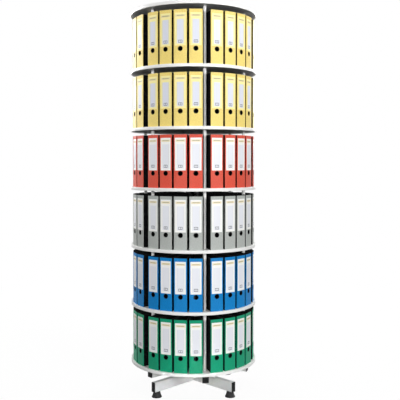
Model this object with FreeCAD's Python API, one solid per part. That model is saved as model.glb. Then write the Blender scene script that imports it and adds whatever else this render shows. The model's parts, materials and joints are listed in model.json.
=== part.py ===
"""Rotary filing cabinet: six tiers of lever-arch files that turn as one carousel on a cross foot.

Millimetres, +Z up, front towards -Y.  The origin is the floor point under the pivot.  Every piece
is modelled at the front, reaching towards -Y, and is then turned to its azimuth, which counts from
the front towards +X.
"""
import FreeCAD, Part
import math
import os

os.makedirs("parts", exist_ok=True)
V = FreeCAD.Vector

# Lever-arch files
file_height = 318.0
spine_width = 80.0
cover_depth = 285.0
board_thickness = 2.5
finger_hole_diameter = 27.0
finger_hole_height = 88.0        # centre of the hole above the foot of the file
file_gap = 13.2                  # between the spines of two neighbours
fore_edge_gap = 3.8              # between the fore-edges of two neighbours
slide_clearance = 0.3            # under a file that is free to slide

# How the files share a tier
tier_count = 6
bay_count = 6
files_per_bay = 4
post_gap_deg = 5.2               # part of a bay's angle that is left to the post
first_post_deg = 11.7

# Shelves
shelf_thickness = 19.0
rim_margin = 12.0                # from the spines to the shelf's rim
headroom = 30.0                  # above the files, room for the hand

# Posts: round tubes that stand on the star frame and run up through every shelf
post_diameter = 20.0
post_wall = 1.5
post_inset = 67.0                # from the shelf's rim to the post's axis
post_hole_clearance = 0.1        # radial, shelf round the post

# Star frame that carries the lowest shelf
star_tube_width = 40.0
star_tube_height = 50.0
star_tube_wall = 2.0
star_overhang = 24.0             # arm beyond the post's axis
hub_diameter = 96.0
hub_drop = 8.0                   # hub below the arms

# Pivot
spindle_diameter = 25.0
spindle_play = 0.05              # radial, hub on spindle
spindle_top_gap = 4.0            # from the spindle's end to the lowest shelf
flange_width = 80.0
flange_thickness = 8.0
race_diameter = 60.0
race_thickness = 4.0
cage_diameter = 52.0
cage_thickness = 5.0
ring_play = 0.5                  # radial, races and cage on the spindle

# Cross foot
cross_arm_count = 4
cross_first_deg = 45.0
cross_tube_width = 30.0
cross_tube_height = 60.0
cross_tube_wall = 3.0
foot_inset = 80.0                # from the shelf's rim to the levelling foot's axis
cross_overhang = 27.0            # arm beyond the levelling foot's axis
cap_flange = 3.0
cap_plug = 12.0
cap_clearance = 0.2

# Levelling feet
foot_height = 35.0
foot_base_diameter = 63.0
foot_top_diameter = 42.0
foot_edge_height = 5.0           # upright edge below the cone
stud_diameter = 12.0
stud_length = 22.0
stud_play = 0.4                  # radial, stud in the arm's lower wall

# Lever-arch mechanism
arch_setback = 42.0              # from the spine to the base plate
base_plate_depth = 44.0
base_plate_height = 150.0
base_plate_thickness = 1.5
ring_spacing = 80.0
ring_reach = 44.0                # height of the rings over the base plate
ring_depth = 34.0
ring_bar = 3.5
lever_length = 62.0
lever_width = 9.0
lever_thickness = 2.0
mid_height = file_height / 2

# Small round pieces and holes that repeat are regular prisms, which keeps the model light
post_hole_sides = 8
finger_hole_sides = 20
ring_sides = 28
foot_sides = 32
stud_sides = 12

# Plan of a tier: the bays and the files in them fix the radii
bay_deg = 360.0 / bay_count
file_pitch_deg = (bay_deg - post_gap_deg) / files_per_bay
half_pitch = math.radians(file_pitch_deg / 2)
spine_radius = (spine_width + file_gap) / 2 / math.tan(half_pitch)
fore_edge_radius = spine_radius - cover_depth
fore_edge_width = 2 * fore_edge_radius * math.tan(half_pitch) - fore_edge_gap
shelf_radius = spine_radius + rim_margin
post_radius = shelf_radius - post_inset
star_reach = post_radius + star_overhang
foot_radius = shelf_radius - foot_inset
cross_reach = foot_radius + cross_overhang

# Levels, from the floor up
cross_bottom = foot_height
cross_top = cross_bottom + cross_tube_height
flange_top = cross_top + flange_thickness
cage_bottom = flange_top + race_thickness
upper_race_bottom = cage_bottom + cage_thickness
hub_bottom = upper_race_bottom + race_thickness
star_bottom = hub_bottom + hub_drop
star_top = star_bottom + star_tube_height
tier_pitch = file_height + headroom + shelf_thickness
top_face = star_top + tier_count * tier_pitch + shelf_thickness


def shelf_bottom(level):
    return star_top + level * tier_pitch


def shelf_top(level):
    return shelf_bottom(level) + shelf_thickness


def outline(points):
    """Closed wire through points that are given once each."""
    return Part.makePolygon(points + [points[0]])


def turned(shape, azimuth):
    """Copy of a shape that was modelled at the front, turned about the pivot to its azimuth."""
    return shape.rotated(V(0, 0, 0), V(0, 0, 1), azimuth)


def around(shape, azimuths):
    return [turned(shape, azimuth) for azimuth in azimuths]


def spread(count, first):
    return [first + index * 360.0 / count for index in range(count)]


def circle(diameter, x, y, z):
    return Part.Wire(Part.makeCircle(diameter / 2, V(x, y, z)))


def ring_points(diameter, sides, y, z):
    angles = [2 * math.pi * step / sides for step in range(sides)]
    return [V(diameter / 2 * math.sin(a), y - diameter / 2 * math.cos(a), z) for a in angles]


def corners_on(diameter, sides, y, z):
    """Regular polygon whose corners lie on a circle, for a piece that keeps inside its diameter."""
    return outline(ring_points(diameter, sides, y, z))


def flats_on(diameter, sides, y, z):
    """Regular polygon whose flats touch a circle, for a hole that a round piece passes."""
    return corners_on(diameter / math.cos(math.pi / sides), sides, y, z)


def pierced(outer, holes, height):
    """Straight piece that rises from an outline with holes in it."""
    return Part.Face([outer] + holes, "Part::FaceMakerBullseye").extrude(V(0, 0, height))


def rod(diameter, y, z, length):
    return Part.makeCylinder(diameter / 2, length, V(0, y, z))


def rectangle(width, height, y, z):
    """Upright rectangle that faces the front, centred on X, with its lower edge at z."""
    half = width / 2
    return outline([V(-half, y, z), V(half, y, z), V(half, y, z + height), V(-half, y, z + height)])


def box_tube(width, height, wall, start, end, z):
    """Rectangular tube that runs outwards from radius start to radius end."""
    outer = rectangle(width, height, -start, z)
    inner = rectangle(width - 2 * wall, height - 2 * wall, -start, z + wall)
    return Part.Face([outer, inner], "Part::FaceMakerBullseye").extrude(V(0, start - end, 0))


def end_cap(width, height, wall, end, z):
    """Moulded cap over a tube's end, with a plug that goes inside it."""
    flange = Part.Face(rectangle(width, height, -end, z)).extrude(V(0, -cap_flange, 0))
    inset = wall + cap_clearance
    plug_face = Part.Face(rectangle(width - 2 * inset, height - 2 * inset, -end, z + inset))
    return flange.fuse(plug_face.extrude(V(0, cap_plug, 0))).removeSplitter()


def export(node, solids):
    shape = solids[0] if len(solids) == 1 else Part.makeCompound(solids)
    shape.exportStep("parts/" + node + ".step")


def foot_cross():
    """Weldment of one through beam and two half beams that butt against its sides."""
    azimuths = spread(cross_arm_count, cross_first_deg)
    size = (cross_tube_width, cross_tube_height, cross_tube_wall)
    through = turned(box_tube(*size, -cross_reach, cross_reach, cross_bottom), azimuths[0])
    half = box_tube(*size, cross_tube_width / 2, cross_reach, cross_bottom)
    frame = through.multiFuse(around(half, azimuths[1::2])).removeSplitter()
    rim = flats_on(stud_diameter + 2 * stud_play, stud_sides, -foot_radius, cross_bottom)
    return frame.cut(around(pierced(rim, [], cross_tube_wall), azimuths))


def levelling_foot():
    """Moulded cone on an upright edge, with its threaded stud."""
    base = corners_on(foot_base_diameter, foot_sides, -foot_radius, 0)
    shoulder = ring_points(foot_base_diameter, foot_sides, -foot_radius, foot_edge_height)
    top = ring_points(foot_top_diameter, foot_sides, -foot_radius, foot_height)
    stud = corners_on(stud_diameter, stud_sides, -foot_radius, foot_height)
    slopes = [Part.Face(outline([shoulder[i - 1], shoulder[i], top[i], top[i - 1]]))
              for i in range(foot_sides)]
    ends = [Part.Face(outline(shoulder)), Part.Face(outline(top))]
    cone = Part.makeSolid(Part.makeShell(slopes + ends))
    edge = pierced(base, [], foot_edge_height)
    return edge.multiFuse([cone, pierced(stud, [], stud_length)]).removeSplitter()


def pivot_spindle():
    """Turned shaft on a square flange that lies across the middle of the cross."""
    half = flange_width / 2
    flange = plate((flange_width, flange_width, flange_thickness), (-half, -half, cross_top))
    shaft = rod(spindle_diameter, 0, cross_top, star_top - spindle_top_gap - cross_top)
    return turned(flange, cross_first_deg).fuse(shaft).removeSplitter()


def star_frame():
    """Six tube arms welded to a turned hub that is bored for the spindle."""
    size = (star_tube_width, star_tube_height, star_tube_wall)
    arm = box_tube(*size, 0, star_reach, star_bottom)
    hub_height = star_top - hub_bottom
    hub = rod(hub_diameter, 0, hub_bottom, hub_height)
    bore = rod(spindle_diameter + 2 * spindle_play, 0, hub_bottom, hub_height)
    frame = hub.multiFuse(around(arm, spread(bay_count, first_post_deg))).removeSplitter()
    return frame.cut(bore)


def thrust_ring(diameter, z, thickness):
    bore = flats_on(spindle_diameter + 2 * ring_play, ring_sides, 0, z)
    return pierced(corners_on(diameter, ring_sides, 0, z), [bore], thickness)


def shelf(level):
    """Round board with a hole for each post."""
    z = shelf_bottom(level)
    hole = flats_on(post_diameter + 2 * post_hole_clearance, post_hole_sides, -post_radius, z)
    holes = around(hole, spread(bay_count, first_post_deg))
    return pierced(circle(2 * shelf_radius, 0, 0, z), holes, shelf_thickness)


def post():
    bore = corners_on(post_diameter - 2 * post_wall, post_hole_sides, -post_radius, star_top)
    rim = circle(post_diameter, 0, -post_radius, star_top)
    return pierced(rim, [bore], top_face - star_top)


def file_cover(z):
    """One scored board: the spine and two covers that close up towards the fore-edge."""
    spine = spine_width / 2
    fore_edge = fore_edge_width / 2
    inside = spine - board_thickness
    spine_inside = board_thickness - spine_radius
    profile = outline([
        V(-spine, -spine_radius, z), V(spine, -spine_radius, z),
        V(fore_edge, -fore_edge_radius, z), V(fore_edge - board_thickness, -fore_edge_radius, z),
        V(inside, spine_inside, z), V(-inside, spine_inside, z),
        V(board_thickness - fore_edge, -fore_edge_radius, z), V(-fore_edge, -fore_edge_radius, z),
    ])
    return Part.Face(profile).extrude(V(0, 0, file_height))


def sliding_cover(z):
    """File cover with its finger hole."""
    rim = corners_on(finger_hole_diameter, finger_hole_sides, 0, 0)
    hole = pierced(rim, [], 2 * board_thickness).rotated(V(0, 0, 0), V(1, 0, 0), 90)
    return file_cover(z).cut(hole.translated(V(0, board_thickness - spine_radius, z + finger_hole_height)))


def plate(size, corner):
    return Part.makeBox(*size, V(*corner))


def arch_ring(middle):
    """One ring of the mechanism, a bent bar whose two ends stand on the base plate."""
    low = middle - ring_bar / 2
    reach = base_plate_thickness + ring_reach
    near = (base_plate_depth - ring_depth) / 2
    far = near + ring_depth
    inner_reach, inner_near, inner_far = reach - ring_bar, near + ring_bar, far - ring_bar
    corners = [(0, near), (reach, near), (reach, far), (0, far),
               (0, inner_far), (inner_reach, inner_far), (inner_reach, inner_near), (0, inner_near)]
    return Part.Face(outline([V(x, y, low) for x, y in corners])).extrude(V(0, 0, ring_bar))


def lever_arch(z):
    """Riveted mechanism on the left cover: base plate, two rings and the lever."""
    base = plate((base_plate_thickness, base_plate_depth, base_plate_height),
                 (0, 0, mid_height - base_plate_height / 2))
    rings = [arch_ring(mid_height + side * ring_spacing / 2) for side in (-1, 1)]
    near = (base_plate_depth - ring_depth) / 2
    lever_low = mid_height + (ring_spacing + ring_bar) / 2
    lever = plate((lever_length, lever_width, lever_thickness), (0, near, lever_low))
    mechanism = base.multiFuse(rings + [lever]).removeSplitter()
    taper = math.degrees(math.atan2((spine_width - fore_edge_width) / 2, cover_depth))
    mechanism.rotate(V(0, 0, 0), V(0, 0, 1), -taper)
    depth = arch_setback * math.cos(math.radians(taper))
    wall_x = -spine_width / 2 + board_thickness + arch_setback * math.sin(math.radians(taper))
    mechanism.translate(V(wall_x, depth - spine_radius, z))
    return mechanism


def files_in_tier():
    """Azimuth of every file of a tier: in each bay, four files one after another from its post."""
    azimuths = []
    for post in spread(bay_count, first_post_deg):
        for place in range(files_per_bay):
            azimuths.append(post - post_gap_deg / 2 - (place + 0.5) * file_pitch_deg)
    return azimuths


post_azimuths = spread(bay_count, first_post_deg)
cross_azimuths = spread(cross_arm_count, cross_first_deg)

# Foot
export("foot_cross", [foot_cross()])
cross_cap = end_cap(cross_tube_width, cross_tube_height, cross_tube_wall, cross_reach, cross_bottom)
export("foot_end_caps", around(cross_cap, cross_azimuths))
for number, foot in enumerate(around(levelling_foot(), cross_azimuths), 1):
    export("levelling_foot_" + str(number), [foot])
export("pivot_spindle", [pivot_spindle()])
export("bearing_lower_race", [thrust_ring(race_diameter, flange_top, race_thickness)])
export("bearing_ball_cage", [thrust_ring(cage_diameter, cage_bottom, cage_thickness)])

# Carousel
export("bearing_upper_race", [thrust_ring(race_diameter, upper_race_bottom, race_thickness)])
export("star_frame", [star_frame()])
star_cap = end_cap(star_tube_width, star_tube_height, star_tube_wall, star_reach, star_bottom)
export("star_end_caps", around(star_cap, post_azimuths))
for level in range(tier_count + 1):
    export("shelf_" + str(level + 1), [shelf(level)])
for number, post_in_place in enumerate(around(post(), post_azimuths), 1):
    export("post_" + str(number), [post_in_place])

# Files: the first of each tier, beside the front post, is free to slide out
file_azimuths = files_in_tier()
for level in range(tier_count):
    tier = str(level + 1)
    export("files_tier_" + tier, around(file_cover(shelf_top(level)), file_azimuths[1:]))
    slide_z = shelf_top(level) + slide_clearance
    export("sliding_file_" + tier + "_cover", [turned(sliding_cover(slide_z), file_azimuths[0])])
    export("sliding_file_" + tier + "_lever_arch", [turned(lever_arch(slide_z), file_azimuths[0])])
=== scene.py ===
"""Rotary filing cabinet: the finished look of six tiers of lever-arch files on a turning frame.

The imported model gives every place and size.  Each operator makes one group of like pieces in mesh
code, in metres, ties it to the body that carries it and names the plain solids it stands for.
"""
import json
import math

import bmesh
import bpy
from bpy.props import FloatProperty, FloatVectorProperty, IntProperty, PointerProperty
from mathutils import Matrix, Vector


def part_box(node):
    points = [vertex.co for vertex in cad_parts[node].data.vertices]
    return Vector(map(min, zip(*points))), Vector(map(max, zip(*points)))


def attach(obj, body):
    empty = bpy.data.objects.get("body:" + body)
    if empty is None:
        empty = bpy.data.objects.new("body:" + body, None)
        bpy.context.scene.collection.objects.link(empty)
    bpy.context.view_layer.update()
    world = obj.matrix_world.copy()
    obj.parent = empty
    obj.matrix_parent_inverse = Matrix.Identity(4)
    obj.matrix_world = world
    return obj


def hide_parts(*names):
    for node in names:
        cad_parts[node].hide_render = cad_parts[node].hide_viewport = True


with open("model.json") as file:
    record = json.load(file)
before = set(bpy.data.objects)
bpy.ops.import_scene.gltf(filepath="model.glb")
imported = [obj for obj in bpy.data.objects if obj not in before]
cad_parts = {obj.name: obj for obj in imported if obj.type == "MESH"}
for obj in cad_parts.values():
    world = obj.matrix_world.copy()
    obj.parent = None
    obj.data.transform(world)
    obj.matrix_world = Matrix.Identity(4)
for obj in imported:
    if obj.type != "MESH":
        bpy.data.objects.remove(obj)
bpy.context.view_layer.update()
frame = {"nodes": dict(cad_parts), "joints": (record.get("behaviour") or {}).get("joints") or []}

bl_info = {
    "name": "Rotary filing cabinet",
    "version": (1, 0, 0),
    "blender": (4, 5, 0),
    "location": "3D View > Sidebar > Filing",
    "description": "Makes a turning cabinet of lever-arch files, piece by piece",
    "category": "Object",
}

MM = 0.001
FULL_TURN = 2 * math.pi


# ---------------------------------------------------------------- colours

def linear(hex_colour):
    """Linear RGBA of an sRGB hex colour."""
    channels = [int(hex_colour[start:start + 2], 16) / 255 for start in (1, 3, 5)]
    return [c / 12.92 if c <= 0.04045 else ((c + 0.055) / 1.055) ** 2.4 for c in channels] + [1.0]


def colour_property(name, hex_colour, description):
    return FloatVectorProperty(name=name, description=description, subtype="COLOR", size=4,
                               min=0.0, max=1.0, default=linear(hex_colour))


def length_property(name, millimetres, description):
    return FloatProperty(name=name, description=description, default=millimetres * MM,
                         min=0.0, subtype="DISTANCE", unit="LENGTH")


# ---------------------------------------------------------------- places read from the frame

def centre_of(node):
    low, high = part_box(node)
    return (low + high) / 2


def azimuth_of(place):
    """Angle about the pivot from the front, positive towards +X."""
    return math.atan2(place.x, -place.y)


def turn(azimuth):
    return Matrix.Rotation(azimuth, 4, "Z")


def shift(x, y, z):
    return Matrix.Translation((x, y, z))


def numbered(prefix):
    """Nodes that are called prefix and a number, in order."""
    found = [name for name in frame["nodes"] if name.startswith(prefix) and name[len(prefix):].isdigit()]
    return sorted(found, key=lambda name: int(name[len(prefix):]))


def corners(node, azimuth):
    """Vertices of a node, turned about the pivot so that the azimuth comes to the front."""
    return [turn(-azimuth) @ vertex.co for vertex in frame["nodes"][node].data.vertices]


SHELVES = numbered("shelf_")
POSTS = numbered("post_")
FEET = numbered("levelling_foot_")
TIERS = numbered("files_tier_")

slide_out = next(Vector(joint["axis"]) for joint in frame["joints"] if joint["name"] == "file_1_slide")
SLIDE_AZIMUTH = azimuth_of(slide_out)
sliding_corners = corners("sliding_file_1_cover", SLIDE_AZIMUTH)
SPINE_RADIUS = -min(corner.y for corner in sliding_corners)
FORE_EDGE_RADIUS = -max(corner.y for corner in sliding_corners)
HALF_SPINE = max(corner.x for corner in sliding_corners)
HALF_FORE_EDGE = max(corner.x for corner in sliding_corners if corner.y > -FORE_EDGE_RADIUS - MM)
FILE_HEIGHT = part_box("sliding_file_1_cover")[1].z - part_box("sliding_file_1_cover")[0].z
COVER_DEPTH = SPINE_RADIUS - FORE_EDGE_RADIUS
COVER_TAPER = math.atan2(HALF_SPINE - HALF_FORE_EDGE, COVER_DEPTH)

POST_AZIMUTHS = [azimuth_of(centre_of(node)) for node in POSTS]
POST_PLACE = turn(-POST_AZIMUTHS[0]) @ centre_of(POSTS[0])
POST_RADIUS = (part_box(POSTS[0])[1].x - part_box(POSTS[0])[0].x) / 2
FILES_PER_BAY = 4
BAY = FULL_TURN / len(POSTS)
FILE_PITCH = (BAY - 2 * (POST_AZIMUTHS[0] - SLIDE_AZIMUTH)) / (FILES_PER_BAY - 1)
FILE_AZIMUTHS = [post - (POST_AZIMUTHS[0] - SLIDE_AZIMUTH) - place * FILE_PITCH
                 for post in POST_AZIMUTHS for place in range(FILES_PER_BAY)]

FOOT_AZIMUTHS = [azimuth_of(centre_of(node)) for node in FEET]
FOOT_PLACE = turn(-FOOT_AZIMUTHS[0]) @ centre_of(FEET[0])
CROSS_LOW, CROSS_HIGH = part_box("foot_cross")[0].z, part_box("foot_cross")[1].z
CROSS_REACH = max(corner.x for corner in corners("foot_cross", FOOT_AZIMUTHS[0]))
STAR_LOW, STAR_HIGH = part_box("star_end_caps")[0].z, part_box("star_end_caps")[1].z
HUB_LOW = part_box("star_frame")[0].z
STAR_REACH = max(corner.y for corner in corners("star_frame", POST_AZIMUTHS[0]))


# ---------------------------------------------------------------- sizes and colours to change

class FileSizes(bpy.types.PropertyGroup):
    """Sizes of a lever-arch file's board, label, finger hole and mechanism."""
    board: length_property("Board thickness", 2.5, "Thickness of the cover board")
    hinge_round: length_property("Spine edge radius", 1.6, "Rounding of the two long edges of the spine")
    wrap: length_property("Coloured wrap", 3.0, "Coloured paper folded round from the spine to each side")
    hole_diameter: length_property("Finger hole", 26.0, "Width of the hole that a finger pulls")
    hole_height: length_property("Finger hole height", 88.0, "Middle of the hole above the file's foot")
    ring_width: length_property("Ring width", 2.4, "Width of the ring that edges the finger hole")
    ring_rise: length_property("Ring rise", 0.8, "Height of that ring above the spine")
    label_width: length_property("Label width", 66.0, "Width of the spine label")
    label_length: length_property("Label length", 193.5, "Length of the spine label")
    label_foot: length_property("Label foot", 105.0, "Lower edge of the label above the file's foot")
    label_rise: length_property("Label thickness", 0.3, "Thickness of the label and its pocket")
    setback: length_property("Mechanism setback", 42.0, "From the spine to the mechanism's base plate")
    plate_depth: length_property("Base plate depth", 44.0, "Base plate, measured away from the spine")
    plate_height: length_property("Base plate height", 150.0, "Base plate, measured upright")
    ring_spacing: length_property("Arch spacing", 80.0, "Between the two arches")
    arch_reach: length_property("Arch reach", 44.0, "Height of the arches over the base plate")
    arch_span: length_property("Arch span", 34.0, "Outer width of an arch")
    arch_wire: length_property("Arch wire", 3.4, "Thickness of the arch wire")
    lever_length: length_property("Lever length", 62.0, "Length of the lever")


class FrameSizes(bpy.types.PropertyGroup):
    """Sizes of tubes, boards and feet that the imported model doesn't give."""
    board_band: length_property("Edge band", 2.0, "Thickness of the band round a shelf's edge")
    band_round: length_property("Edge band radius", 1.2, "Rounding of the band's two edges")
    tube_round: length_property("Tube corner radius", 3.0, "Outer corner radius of the rectangular tubes")
    cross_wall: length_property("Cross tube wall", 3.0, "Wall of the cross foot's tubes")
    cross_width: length_property("Cross tube width", 30.0, "Width of the cross foot's tubes")
    star_wall: length_property("Star tube wall", 2.0, "Wall of the star frame's tubes")
    star_width: length_property("Star tube width", 40.0, "Width of the star frame's tubes")
    hub_diameter: length_property("Hub diameter", 96.0, "Diameter of the star frame's hub")
    spindle_diameter: length_property("Spindle diameter", 25.0, "Diameter of the pivot spindle")
    spindle_play: length_property("Spindle play", 0.05, "Radial play of the hub on the spindle")
    post_wall: length_property("Post wall", 1.5, "Wall of the post tubes")
    cap_flange: length_property("Cap flange", 3.0, "Part of an end cap that shows outside its tube")
    foot_base: length_property("Foot base", 63.0, "Diameter of a levelling foot at the floor")
    foot_top: length_property("Foot top", 42.0, "Diameter of a levelling foot under the arm")
    foot_edge: length_property("Foot edge", 5.0, "Upright edge below the foot's cone")
    stud_diameter: length_property("Stud diameter", 12.0, "Diameter of a levelling foot's stud")
    stud_pitch: length_property("Stud pitch", 1.75, "Pitch of the stud's thread")
    round_steps: IntProperty(name="Steps in a round", description="Straight steps in a large circle",
                             default=192, min=24, max=512)


class Finishes(bpy.types.PropertyGroup):
    """Colours of the finishes."""
    yellow: colour_property("Yellow spine", "#EFD77B", "Spine paper of the two highest tiers")
    red: colour_property("Red spine", "#D95441", "Spine paper of the fourth tier")
    grey: colour_property("Grey spine", "#B0B4B0", "Spine paper of the third tier")
    blue: colour_property("Blue spine", "#027DC2", "Spine paper of the second tier")
    green: colour_property("Green spine", "#07936C", "Spine paper of the lowest tier")
    white_label: colour_property("White label", "#F7F7F4", "Paper of the label on most spines")
    white_field: colour_property("White label's field", "#E8EAF0", "Writing field of a white label")
    white_bar: colour_property("White label's bar", "#EFE3C0", "Bar at the head of a white label")
    yellow_label: colour_property("Yellow label", "#F8ECA6", "Paper of the label on the yellow spines")
    yellow_field: colour_property("Yellow label's field", "#DADDE8", "Writing field of a yellow label")
    yellow_bar: colour_property("Yellow label's bar", "#E6D9A4", "Bar at the head of a yellow label")
    shelf_white: colour_property("Shelf white", "#F1F1EE", "Melamine face of the shelves")
    band_white: colour_property("Edge band white", "#F0F0EE", "Edge band of the shelves, post plugs")
    coat_white: colour_property("White coat", "#F0F0EE", "Powder coat of posts and star frame")
    coat_grey: colour_property("Grey coat", "#DADCDC", "Powder coat of the cross foot")
    cap_black: colour_property("Cap black", "#0D0D0E", "Moulded end caps")
    foot_black: colour_property("Foot black", "#323233", "Moulded levelling feet")


# tier colours from the lowest to the highest, as in the record's slots
TIER_COLOURS = ["green", "blue", "grey", "red", "yellow", "yellow"]


# ---------------------------------------------------------------- materials

# print on a label: sizes across and up, and heights from its foot or its head
FIELD_WIDTH = 41 * MM
FIELD_LENGTH_SHARE, FIELD_MIDDLE_SHARE = 0.74, 0.43     # of the label's length
RULE_WIDTH = 0.8 * MM
BAR, BAR_LINE, BAR_FROM_HEAD = (58 * MM, 13 * MM), (42 * MM, 3.6 * MM), 17 * MM
YEAR_BOX, YEAR_INSIDE, YEAR_DIVIDE = (24 * MM, 16 * MM), (19 * MM, 11 * MM), (2.4 * MM, 11 * MM)
YEAR_FROM_FOOT = 25 * MM

# marbled cover paper: black with a few thin grey veins, in clouds about 16 mm across
MARBLED_BLACK = (16 * MM, [(0.42, linear("#050506")), (0.56, linear("#0A0A0C")),
                           (0.62, linear("#242427")), (0.66, linear("#070708"))], 8.0)
# linen grain of bookbinding paper: about 0.8 mm, drawn at 1.6 mm so that it shows
LINEN_GRAIN = (1.6 * MM, 0.04 * MM)


def add_node(tree, kind, settings=(), links=()):
    """Adds a node; settings are ramp stops, properties or unlinked inputs, links feed its inputs."""
    node = tree.nodes.new(kind)
    for key, value in dict(settings).items():
        if key == "stops":
            ramp = node.color_ramp.elements
            for position, colour in value[len(ramp):]:
                ramp.new(position)
            for element, (position, colour) in zip(ramp, value):
                element.position, element.color = position, colour
        elif isinstance(key, int) or key in node.inputs:
            node.inputs[key].default_value = value
        else:
            setattr(node, key, value)
    for key, source in dict(links).items():
        tree.links.new(source, node.inputs[key])
    return node


def surface(name, sockets, coordinates="Object"):
    """New material; returns it with its node tree, its shader and the place its patterns follow.

    The place is "Object", or "UV" for paper whose sheet is unrolled in metres.
    """
    material = bpy.data.materials.new(name)
    material.use_nodes = True
    tree = material.node_tree
    shader = tree.nodes["Principled BSDF"]
    for socket, value in sockets.items():
        shader.inputs[socket].default_value = value
    return material, tree, shader, add_node(tree, "ShaderNodeTexCoord").outputs[coordinates]


def shade(colour, amount):
    """Colour made lighter or darker in its linear values."""
    return [min(1.0, channel * amount) for channel in colour[:3]] + [1.0]


def shades(colour, darker, lighter):
    """Stops from a darker to a lighter shade of a colour."""
    return [(0.3, shade(colour, darker)), (0.7, shade(colour, lighter))]


def mottled(tree, shader, place, patch, stops, detail=3.0):
    """Base colour that drifts through the stops in soft patches about `patch` metres across."""
    patches = add_node(tree, "ShaderNodeTexNoise", {"Scale": 1 / patch, "Detail": detail}, {"Vector": place})
    colours = add_node(tree, "ShaderNodeValToRGB", {"stops": stops}, {0: patches.outputs[0]})
    tree.links.new(colours.outputs[0], shader.inputs["Base Color"])
    return colours.outputs[0]


def roughened(tree, shader, place, patch, low, high):
    """Gloss that varies between two roughness values in patches about `patch` metres across."""
    patches = add_node(tree, "ShaderNodeTexNoise", {"Scale": 1 / patch, "Detail": 3.0}, {"Vector": place})
    spread = add_node(tree, "ShaderNodeMapRange", {"To Min": low, "To Max": high},
                      {"Value": patches.outputs[0]})
    tree.links.new(spread.outputs[0], shader.inputs["Roughness"])


def grained(tree, shader, place, grain, depth, detail=1.0):
    """Skin of soft bumps about `grain` metres across and `depth` metres high."""
    bumps = add_node(tree, "ShaderNodeTexNoise", {"Scale": 1 / grain, "Detail": detail}, {"Vector": place})
    skin = add_node(tree, "ShaderNodeBump", {"Distance": depth, "Strength": 1.0},
                    {"Height": bumps.outputs[0]})
    tree.links.new(skin.outputs[0], shader.inputs["Normal"])


def patterned(name, sockets, colours, gloss=None, grain=None, coordinates="Object"):
    """Finish of three patterns: patches of colour, patches of gloss and a bumpy skin."""
    material, tree, shader, place = surface(name, sockets, coordinates)
    mottled(tree, shader, place, *colours)
    if gloss:
        roughened(tree, shader, place, *gloss)
    if grain:
        grained(tree, shader, place, *grain)
    return material


def powder_coat(name, colour):
    """Polyester powder coat, baked on steel: satin, with a fine orange-peel skin."""
    # the peel is about 1.5 mm from crest to crest, drawn at 3 mm so that it shows
    return patterned(name, {"Roughness": 0.42, "IOR": 1.5}, (90 * MM, shades(colour, 0.985, 1.015)),
                     (40 * MM, 0.36, 0.48), (3 * MM, 0.05 * MM))


def melamine(name, colour):
    """Melamine film pressed on chipboard: hard, satin, with a fine pearl texture."""
    # the pearls are about 1 mm, drawn at 2.5 mm so that they show
    return patterned(name, {"Roughness": 0.48, "IOR": 1.55, "Specular IOR Level": 0.3},
                     (120 * MM, shades(colour, 0.988, 1.012)), (25 * MM, 0.42, 0.54),
                     (2.5 * MM, 0.04 * MM, 2.0))


def edge_plastic(name, colour):
    """ABS edge band, extruded: smooth, with a low sheen so the round edge doesn't glare."""
    return patterned(name, {"Roughness": 0.34, "IOR": 1.54, "Specular IOR Level": 0.2},
                     (150 * MM, shades(colour, 0.99, 1.01)), (30 * MM, 0.3, 0.4))


def moulded_black(name, colour, grit):
    """Injection-moulded black polymer: low sheen from a spark-eroded mould, scuffed paler in places."""
    scuffed = [(0.35, shade(colour, 0.85)), (0.62, colour), (0.8, shade(colour, 1.6))]
    return patterned(name, {"Roughness": 0.5, "IOR": 1.5, "Specular IOR Level": 0.12},
                     (14 * MM, scuffed, 6.0), (9 * MM, 0.4, 0.62), (grit, 0.06 * MM))


def plated_steel(name, hex_colour, roughness, patch):
    """Zinc or nickel plating on steel: bright, with a faint spangle in colour and gloss."""
    return patterned(name, {"Metallic": 1.0, "Roughness": roughness},
                     (patch, shades(linear(hex_colour), 0.88, 1.12)),
                     (patch / 2, roughness * 0.7, roughness * 1.4))


def board_core(name):
    """Grey board, pressed from waste paper: matt and fibrous where the cover is cut."""
    return patterned(name, {"Roughness": 0.9, "IOR": 1.45}, (2 * MM, shades(linear("#3A3836"), 0.75, 1.25)),
                     grain=(1 * MM, 0.1 * MM, 2.0))


def lining_paper(name):
    """Black lining paper glued inside the cover: matt, with a few grey marbled veins."""
    return patterned(name, {"Roughness": 0.85, "IOR": 1.45, "Specular IOR Level": 0.2}, MARBLED_BLACK,
                     coordinates="UV")


def spine_paper(name, colour):
    """Coloured paper with a plastic film, embossed: cloudy fibres under a soft sheen and a linen grain."""
    return patterned(name, {"Roughness": 0.5, "IOR": 1.5, "Specular IOR Level": 0.22},
                     (7 * MM, shades(colour, 0.88, 1.08), 6.0), (12 * MM, 0.42, 0.58), LINEN_GRAIN, "UV")


def cover_paper(name):
    """Marbled paper on the file's sides, unfilmed: black and nearly matt, with thin grey veins."""
    return patterned(name, {"Roughness": 0.7, "IOR": 1.45, "Specular IOR Level": 0.12}, MARBLED_BLACK,
                     (12 * MM, 0.62, 0.78), LINEN_GRAIN, "UV")


def printed(tree, under, sheet, centre, size, colour, strength):
    """Lays a flat colour over another inside an upright rectangle of the unrolled sheet."""
    inside = [add_node(tree, "ShaderNodeMath", {"operation": "COMPARE", 1: middle, 2: extent / 2},
                       {0: distance}).outputs[0]
              for distance, middle, extent in zip(sheet, centre, size)]
    mask = add_node(tree, "ShaderNodeMath", {"operation": "MULTIPLY"}, dict(enumerate(inside)))
    if strength < 1.0:
        mask = add_node(tree, "ShaderNodeMath", {"operation": "MULTIPLY", 1: strength},
                        {0: mask.outputs[0]})
    mix = add_node(tree, "ShaderNodeMix", {"data_type": "RGBA", 7: colour}, {0: mask.outputs[0], 6: under})
    return mix.outputs[2]


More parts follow.
